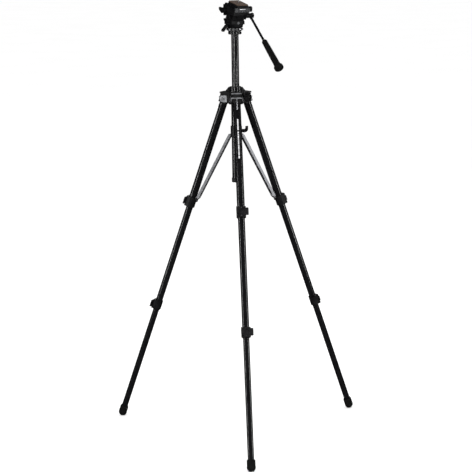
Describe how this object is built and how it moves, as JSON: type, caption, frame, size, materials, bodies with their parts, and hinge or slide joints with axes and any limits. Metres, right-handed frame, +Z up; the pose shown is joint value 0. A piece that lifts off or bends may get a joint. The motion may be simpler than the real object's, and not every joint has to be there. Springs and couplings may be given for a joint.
{
  "type": "video tripod",
  "caption": "Folding camera tripod with telescoping legs, lever locks, a mid-level spreader, a sliding centre column and a pan and tilt video head with a handle.",
  "frame": {"origin": "On the floor, at the middle of the footprint of the three feet; the column stands behind it.", "axes": "+Z is up along the centre column, the front leg and the operator are towards -Y, and +X is to the operator's right."},
  "size_m": [0.9486, 0.8259, 1.657],
  "materials": {
    "black_tube": "black anodised",
    "brace_aluminium": "satin",
    "foot_rubber": "matte",
    "black_plastic": "fine grained black",
    "gloss_black": "gloss black",
    "silver": "silver painted",
    "steel": "plated",
    "cork": "cork and rubber",
    "grip_rubber": "soft ribbed"
  },
  "bodies": {
    "shoulder": {"shoulder_casting": "black_plastic", "shoulder_trim": "silver", "leg_hinge_bolts": "steel", "guide_tube": "black_tube", "guide_tube_cap": "black_plastic", "column_collar": "gloss_black"},
    "leg_front": {"leg_top_fitting_front": "black_plastic", "upper_leg_tube_front": "black_tube", "upper_lock_collar_front": "black_plastic"},
    "mid_front": {"middle_leg_tube_front": "black_tube", "lower_lock_collar_front": "black_plastic"},
    "low_front": {"lower_leg_tube_front": "black_tube", "foot_front": "foot_rubber"},
    "upper_lever_front": {"upper_lock_lever_front": "black_plastic"},
    "lower_lever_front": {"lower_lock_lever_front": "black_plastic"},
    "brace_front": {"brace_arm_front": "brace_aluminium"},
    "leg_left": {"leg_top_fitting_left": "black_plastic", "upper_leg_tube_left": "black_tube", "upper_lock_collar_left": "black_plastic"},
    "mid_left": {"middle_leg_tube_left": "black_tube", "lower_lock_collar_left": "black_plastic"},
    "low_left": {"lower_leg_tube_left": "black_tube", "foot_left": "foot_rubber"},
    "upper_lever_left": {"upper_lock_lever_left": "black_plastic"},
    "lower_lever_left": {"lower_lock_lever_left": "black_plastic"},
    "brace_left": {"brace_arm_left": "brace_aluminium"},
    "leg_right": {"leg_top_fitting_right": "black_plastic", "upper_leg_tube_right": "black_tube", "upper_lock_collar_right": "black_plastic"},
    "mid_right": {"middle_leg_tube_right": "black_tube", "lower_lock_collar_right": "black_plastic"},
    "low_right": {"lower_leg_tube_right": "black_tube", "foot_right": "foot_rubber"},
    "upper_lever_right": {"upper_lock_lever_right": "black_plastic"},
    "lower_lever_right": {"lower_lock_lever_right": "black_plastic"},
    "brace_right": {"brace_arm_right": "brace_aluminium"},
    "hub": {"spreader_hub": "black_plastic", "hub_pins": "steel"},
    "hub_knob": {"hub_lock_knob": "black_plastic"},
    "column_knob": {"column_lock_knob": "black_plastic"},
    "column": {"column_tube": "black_tube", "column_flange": "gloss_black", "head_base": "black_plastic", "base_screws": "steel"},
    "pan": {"pan_housing": "black_plastic", "tilt_axle": "steel"},
    "pan_lever": {"pan_lock_lever": "black_plastic"},
    "drag_button": {"drag_button": "silver"},
    "tilt": {"tilt_block": "black_plastic", "platform": "black_plastic", "rear_clamp_bar": "silver"},
    "tilt_knob": {"tilt_lock_knob": "black_plastic"},
    "plate_lever": {"plate_lever": "black_plastic"},
    "plate_catch": {"plate_catch": "black_plastic"},
    "plate": {"quick_plate": "black_plastic", "plate_pad": "cork"},
    "screw": {"camera_screw": "steel"},
    "handle": {"handle_bar": "black_tube", "handle_grip": "grip_rubber"},
    "handle_knob": {"handle_clamp_knob": "black_plastic"}
  },
  "joints": [
    {"name": "leg_fold_front", "type": "hinge", "parent": "shoulder", "child": "leg_front", "pos_m": [0, 0.088, 1.29], "axis": [1, 0, 0], "range_deg": [0, 16.5]},
    {"name": "middle_section_front", "type": "slide", "parent": "leg_front", "child": "mid_front", "axis": [0, -0.3548, -0.935], "range_m": [-0.37, 0]},
    {"name": "lower_section_front", "type": "slide", "parent": "mid_front", "child": "low_front", "axis": [0, -0.3548, -0.935], "range_m": [-0.425, 0]},
    {"name": "upper_lock_front", "type": "hinge", "parent": "leg_front", "child": "upper_lever_front", "pos_m": [-0.0155, -0.07951, 0.89365], "axis": [0, -0.3548, -0.935], "range_deg": [0, 100]},
    {"name": "lower_lock_front", "type": "hinge", "parent": "mid_front", "child": "lower_lever_front", "pos_m": [-0.0155, -0.23661, 0.47569], "axis": [0, -0.3548, -0.935], "range_deg": [0, 100]},
    {"name": "leg_fold_left", "type": "hinge", "parent": "shoulder", "child": "leg_left", "pos_m": [-0.03897, 0.1555, 1.29], "axis": [-0.5, -0.866, 0], "range_deg": [0, 17]},
    {"name": "middle_section_left", "type": "slide", "parent": "leg_left", "child": "mid_left", "axis": [-0.3072, 0.1774, -0.935], "range_m": [-0.37, 0]},
    {"name": "lower_section_left", "type": "slide", "parent": "mid_left", "child": "low_left", "axis": [-0.3072, 0.1774, -0.935], "range_m": [-0.425, 0]},
    {"name": "upper_lock_left", "type": "hinge", "parent": "leg_left", "child": "upper_lever_left", "pos_m": [-0.17629, 0.25268, 0.89365], "axis": [-0.3072, 0.1774, -0.935], "range_deg": [0, 100]},
    {"name": "lower_lock_left", "type": "hinge", "parent": "mid_left", "child": "lower_lever_left", "pos_m": [-0.31234, 0.33123, 0.47569], "axis": [-0.3072, 0.1774, -0.935], "range_deg": [0, 100]},
    {"name": "leg_fold_right", "type": "hinge", "parent": "shoulder", "child": "leg_right", "pos_m": [0.03897, 0.1555, 1.29], "axis": [-0.5, 0.866, 0], "range_deg": [0, 17]},
    {"name": "middle_section_right", "type": "slide", "parent": "leg_right", "child": "mid_right", "axis": [0.3072, 0.1774, -0.935], "range_m": [-0.37, 0]},
    {"name": "lower_section_right", "type": "slide", "parent": "mid_right", "child": "low_right", "axis": [0.3072, 0.1774, -0.935], "range_m": [-0.425, 0]},
    {"name": "upper_lock_right", "type": "hinge", "parent": "leg_right", "child": "upper_lever_right", "pos_m": [0.19179, 0.22583, 0.89365], "axis": [0.3072, 0.1774, -0.935], "range_deg": [0, 100]},
    {"name": "lower_lock_right", "type": "hinge", "parent": "mid_right", "child": "lower_lever_right", "pos_m": [0.32784, 0.30438, 0.47569], "axis": [0.3072, 0.1774, -0.935], "range_deg": [0, 100]},
    {"name": "hub_slide", "type": "slide", "parent": "shoulder", "child": "hub", "axis": [0, 0, 1], "range_m": [0, 0.0202]},
    {"name": "brace_fold_front", "type": "hinge", "parent": "hub", "child": "brace_front", "pos_m": [0, 0.106, 1.152], "axis": [1, 0, 0], "range_deg": [0, 27]},
    {"name": "brace_fold_left", "type": "hinge", "parent": "hub", "child": "brace_left", "pos_m": [-0.02338, 0.1465, 1.152], "axis": [-0.5, -0.866, 0], "range_deg": [0, 27]},
    {"name": "brace_fold_right", "type": "hinge", "parent": "hub", "child": "brace_right", "pos_m": [0.02338, 0.1465, 1.152], "axis": [-0.5, 0.866, 0], "range_deg": [0, 27]},
    {"name": "hub_knob_turn", "type": "hinge", "parent": "hub", "child": "hub_knob", "pos_m": [0.02719, 0.12032, 1.17], "axis": [0.9063, -0.4226, 0], "range_deg": [0, 180]},
    {"name": "column_knob_turn", "type": "hinge", "parent": "shoulder", "child": "column_knob", "pos_m": [0.0433, 0.108, 1.297], "axis": [0.866, -0.5, 0], "range_deg": [0, 360]},
    {"name": "column_height", "type": "slide", "parent": "shoulder", "child": "column", "axis": [0, 0, 1], "range_m": [-0.19, 0.08]},
    {"name": "pan", "type": "hinge", "parent": "column", "child": "pan", "pos_m": [0, 0.133, 1.56], "axis": [0, 0, 1], "continuous": true},
    {"name": "pan_lock", "type": "hinge", "parent": "pan", "child": "pan_lever", "pos_m": [-0.02714, 0.13115, 1.5625], "axis": [-0.9336, -0.3584, 0], "range_deg": [-15, 30]},
    {"name": "drag_button_press", "type": "slide", "parent": "pan", "child": "drag_button", "axis": [-0.3584, 0.9336, 0], "range_m": [0, 0.0014], "stiffness_N_per_m": 400},
    {"name": "tilt", "type": "hinge", "parent": "pan", "child": "tilt", "pos_m": [0, 0.133, 1.58], "axis": [0.9336, 0.3584, 0], "range_deg": [-50, 30]},
    {"name": "tilt_lock", "type": "hinge", "parent": "pan", "child": "tilt_knob", "pos_m": [-0.02801, 0.12225, 1.58], "axis": [-0.9336, -0.3584, 0], "range_deg": [-40, 40]},
    {"name": "plate_lever_swing", "type": "hinge", "parent": "tilt", "child": "plate_lever", "pos_m": [-0.03467, 0.12845, 1.62003], "axis": [-0.9336, -0.3584, 0], "range_deg": [-40, 60]},
    {"name": "plate_catch_press", "type": "slide", "parent": "tilt", "child": "plate_catch", "axis": [-0.9336, -0.3584, 0], "range_m": [0, 0.0014], "stiffness_N_per_m": 400},
    {"name": "plate_slide", "type": "slide", "parent": "tilt", "child": "plate", "axis": [-0.3529, 0.9194, 0.1736], "range_m": [0, 0.02]},
    {"name": "camera_screw_turn", "type": "hinge", "parent": "plate", "child": "screw", "pos_m": [0.01258, 0.10024, 1.64083], "axis": [0.0622, -0.1621, 0.9848], "continuous": true},
    {"name": "handle_angle", "type": "hinge", "parent": "tilt", "child": "handle", "pos_m": [0.05467, 0.08685, 1.60144], "axis": [0.9336, 0.3584, 0], "range_deg": [-60, 30]},
    {"name": "handle_knob_turn", "type": "hinge", "parent": "tilt", "child": "handle_knob", "pos_m": [0.05467, 0.08685, 1.60144], "axis": [0.9336, 0.3584, 0], "range_deg": [0, 360]}
  ],
  "couplings": [
    {"joint": "leg_fold_left", "follows": "leg_fold_front", "ratio": 1},
    {"joint": "leg_fold_right", "follows": "leg_fold_front", "ratio": 1},
    {"joint": "hub_slide", "follows": "leg_fold_front", "m_per_rad": 0.0626},
    {"joint": "brace_fold_front", "follows": "leg_fold_front", "ratio": 1.473},
    {"joint": "brace_fold_left", "follows": "leg_fold_front", "ratio": 1.473},
    {"joint": "brace_fold_right", "follows": "leg_fold_front", "ratio": 1.473}
  ]
}
